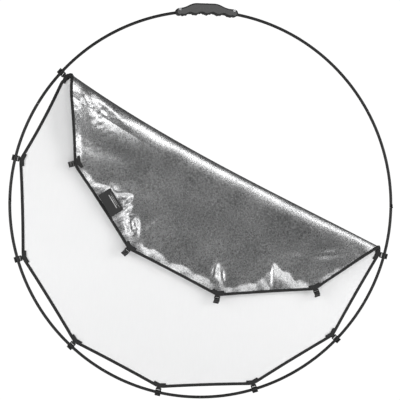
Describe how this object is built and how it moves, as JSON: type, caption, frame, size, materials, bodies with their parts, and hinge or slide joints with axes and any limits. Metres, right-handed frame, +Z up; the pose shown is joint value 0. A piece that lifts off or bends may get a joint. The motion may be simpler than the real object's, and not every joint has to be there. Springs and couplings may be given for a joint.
{
  "type": "collapsible reflector disc",
  "caption": "Round knock-down light reflector: tubular ring with a moulded hand grip and a clip-on fabric disc, white in front and silver behind, partly folded down.",
  "frame": {"origin": "middle of the hand grip, on the centreline of the ring tube", "axes": "+Z up the disc towards the grip, +Y from the white front to the back, +X to the right as seen from the front"},
  "size_m": [0.82, 0.026, 0.8327],
  "materials": {
    "satin_black_tube": "satin black",
    "steel": "bright",
    "shock_cord": "woven sheath",
    "grip_rubber": "matt",
    "grip_insert": "fine grain",
    "white_silver_cloth": "white front, silver back",
    "binding_tape": "woven tape",
    "webbing": "webbing",
    "clip_plastic": "moulded",
    "label_cloth": "woven, blank"
  },
  "bodies": {
    "upper_hoop": {"upper_tube_1": "satin_black_tube", "upper_tube_2": "satin_black_tube", "upper_tube_3": "satin_black_tube", "upper_tube_4": "satin_black_tube", "upper_tube_5": "satin_black_tube", "upper_tube_6": "satin_black_tube", "upper_ferrule_1": "steel", "upper_ferrule_2": "steel", "upper_ferrule_3": "steel", "upper_ferrule_4": "steel", "upper_ferrule_5": "steel", "upper_shock_cord": "shock_cord", "upper_cord_stops": "steel", "left_fold_upper": "satin_black_tube", "right_fold_upper": "satin_black_tube", "left_fold_pin": "steel", "right_fold_pin": "steel", "hand_grip": "grip_rubber", "grip_front_insert": "grip_insert", "grip_back_insert": "grip_insert", "grip_rivet_left": "steel", "grip_rivet_right": "steel"},
    "lower_hoop": {"lower_tube_1": "satin_black_tube", "lower_tube_2": "satin_black_tube", "lower_tube_3": "satin_black_tube", "lower_tube_4": "satin_black_tube", "lower_tube_5": "satin_black_tube", "lower_tube_6": "satin_black_tube", "lower_ferrule_1": "steel", "lower_ferrule_2": "steel", "lower_ferrule_3": "steel", "lower_ferrule_4": "steel", "lower_ferrule_5": "steel", "lower_shock_cord": "shock_cord", "lower_cord_stops": "steel", "left_fold_lower": "satin_black_tube", "right_fold_lower": "satin_black_tube"},
    "panel": {"panel_fabric": "white_silver_cloth", "panel_binding": "binding_tape", "panel_tabs": "webbing", "fold_strip": "white_silver_cloth"},
    "flap": {"flap_fabric": "white_silver_cloth", "flap_binding": "binding_tape", "flap_tabs": "webbing", "woven_label": "label_cloth"},
    "ring_clip_1": {"ring_clip_1": "clip_plastic"},
    "ring_clip_2": {"ring_clip_2": "clip_plastic"},
    "ring_clip_3": {"ring_clip_3": "clip_plastic"},
    "ring_clip_4": {"ring_clip_4": "clip_plastic"},
    "ring_clip_5": {"ring_clip_5": "clip_plastic"},
    "ring_clip_6": {"ring_clip_6": "clip_plastic"},
    "ring_clip_7": {"ring_clip_7": "clip_plastic"},
    "ring_clip_8": {"ring_clip_8": "clip_plastic"},
    "flap_clip_1": {"flap_clip_1": "clip_plastic"},
    "flap_clip_2": {"flap_clip_2": "clip_plastic"},
    "flap_clip_3": {"flap_clip_3": "clip_plastic"},
    "flap_clip_4": {"flap_clip_4": "clip_plastic"}
  },
  "joints": [
    {"name": "frame_fold", "type": "hinge", "parent": "upper_hoop", "child": "lower_hoop", "pos_m": [0, -0.005, -0.4068], "axis": [-1, 0, 0], "range_deg": [0, 178]},
    {"name": "panel_release", "type": "slide", "parent": "upper_hoop", "child": "panel", "axis": [0, 1, 0], "range_m": [0, 0.24]},
    {"name": "flap_fold", "type": "hinge", "parent": "panel", "child": "flap", "pos_m": [0.05461, -0.005, -0.30787], "axis": [-0.8755, 0, 0.4833], "range_deg": [0, 180], "deforming": ["fold_strip"]},
    {"name": "ring_clip_1_turn", "type": "hinge", "parent": "panel", "child": "ring_clip_1", "pos_m": [-0.30467, 0, -0.13725], "axis": [-0.6626, 0, -0.749], "range_deg": [-8, 8]},
    {"name": "ring_clip_2_turn", "type": "hinge", "parent": "panel", "child": "ring_clip_2", "pos_m": [-0.39685, 0, -0.31737], "axis": [-0.2198, 0, -0.9755], "range_deg": [-8, 8]},
    {"name": "ring_clip_3_turn", "type": "hinge", "parent": "panel", "child": "ring_clip_3", "pos_m": [-0.3884, 0, -0.52777], "axis": [0.2974, 0, -0.9548], "range_deg": [-8, 8]},
    {"name": "ring_clip_4_turn", "type": "hinge", "parent": "panel", "child": "ring_clip_4", "pos_m": [-0.27431, 0, -0.7072], "axis": [0.7385, 0, -0.6743], "range_deg": [-8, 8]},
    {"name": "ring_clip_5_turn", "type": "hinge", "parent": "panel", "child": "ring_clip_5", "pos_m": [-0.08943, 0, -0.80365], "axis": [0.9755, 0, -0.2198], "range_deg": [-8, 8]},
    {"name": "ring_clip_6_turn", "type": "hinge", "parent": "panel", "child": "ring_clip_6", "pos_m": [0.1169, 0, -0.79644], "axis": [0.9578, 0, 0.2874], "range_deg": [-8, 8]},
    {"name": "ring_clip_7_turn", "type": "hinge", "parent": "panel", "child": "ring_clip_7", "pos_m": [0.29263, 0, -0.68939], "axis": [0.6947, 0, 0.7193], "range_deg": [-8, 8]},
    {"name": "ring_clip_8_turn", "type": "hinge", "parent": "panel", "child": "ring_clip_8", "pos_m": [0.3933, 0, -0.51072], "axis": [0.2554, 0, 0.9668], "range_deg": [-8, 8]},
    {"name": "flap_clip_1_swing", "type": "hinge", "parent": "flap", "child": "flap_clip_1", "pos_m": [-0.27215, -0.012, -0.32554], "axis": [-0.2924, 0, 0.9563], "range_deg": [0, 70]},
    {"name": "flap_clip_2_swing", "type": "hinge", "parent": "flap", "child": "flap_clip_2", "pos_m": [-0.15918, -0.012, -0.50391], "axis": [-0.7396, 0, 0.673], "range_deg": [0, 70]},
    {"name": "flap_clip_3_swing", "type": "hinge", "parent": "flap", "child": "flap_clip_3", "pos_m": [0.03176, -0.012, -0.60015], "axis": [-0.981, 0, 0.1942], "range_deg": [0, 70]},
    {"name": "flap_clip_4_swing", "type": "hinge", "parent": "flap", "child": "flap_clip_4", "pos_m": [0.243, -0.012, -0.58464], "axis": [-0.9421, 0, -0.3355], "range_deg": [0, 70]}
  ]
}
